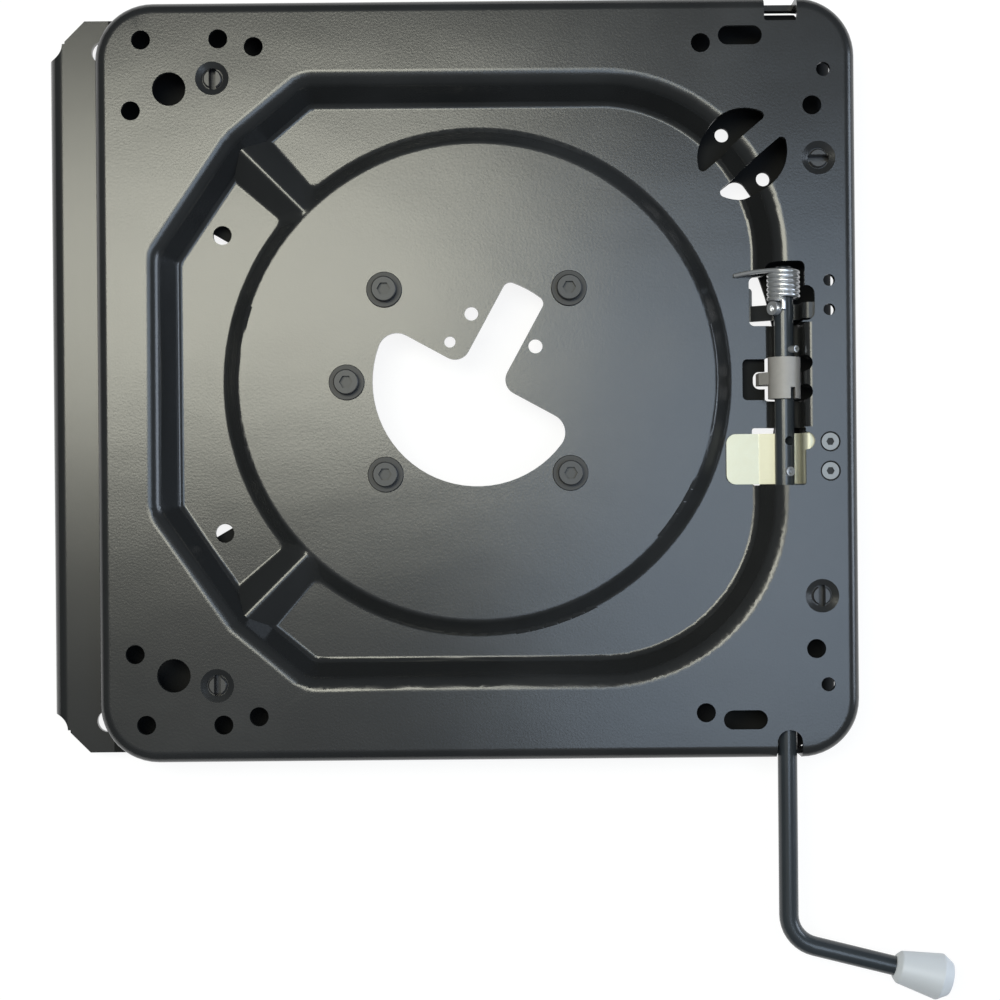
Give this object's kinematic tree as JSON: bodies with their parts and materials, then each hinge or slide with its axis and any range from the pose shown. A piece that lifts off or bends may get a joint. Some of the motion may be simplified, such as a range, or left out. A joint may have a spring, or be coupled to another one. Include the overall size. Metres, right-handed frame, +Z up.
{
  "type": "swivel seat base",
  "caption": "Square pressed-steel turntable on a fixed plate: turns a seat about a vertical axis and is locked by a cranked hand lever with a spring-loaded nose.",
  "frame": {"origin": "on the swivel axis, in the plane that the base's flanges stand on", "axes": "+Z up along the swivel axis, towards the seat; +X towards the side with the lock; the lever leaves the turntable towards -Y"},
  "size_m": [0.4689, 0.5163, 0.0493],
  "materials": {
    "black_coat": "glossy black electrocoat",
    "slide_plastic": "slippery plain plastic",
    "black_fixings": "black oiled steel",
    "zinc": "zinc plated",
    "glide_plastic": "moulded black",
    "yellow_zinc": "yellow zinc plated",
    "sleeve_metal": "satin",
    "knob_plastic": "light grey moulded"
  },
  "bodies": {
    "base": {"base_plate": "black_coat", "bearing_ring": "black_coat"},
    "turntable": {"top_plate": "black_coat", "hub_spacer": "black_coat", "retaining_ring": "black_coat", "upper_slide_ring": "slide_plastic", "lower_slide_ring": "slide_plastic", "centre_bolts": "black_fixings", "centre_washers": "zinc", "centre_nuts": "zinc", "glide_button_1": "glide_plastic", "glide_button_2": "glide_plastic", "glide_button_3": "glide_plastic", "glide_button_4": "glide_plastic", "lower_bracket": "yellow_zinc", "upper_bracket": "black_coat", "bracket_screws": "zinc", "bracket_nuts": "zinc", "torsion_spring": "zinc"},
    "lever": {"lever_rod": "black_coat", "lever_knob": "knob_plastic", "lock_sleeve": "sleeve_metal", "stop_pin": "zinc", "rod_pin": "zinc", "spring_screw": "zinc"}
  },
  "joints": [
    {"name": "swivel", "type": "hinge", "parent": "base", "child": "turntable", "pos_m": [0, 0, 0.0285], "axis": [0, 0, 1], "continuous": true},
    {"name": "lever_release", "type": "hinge", "parent": "turntable", "child": "lever", "pos_m": [0.1586, 0, 0.0375], "axis": [0, -1, 0], "range_deg": [0, 20], "stiffness_Nm_per_rad": 1.2, "springref_deg": -34.38}
  ]
}
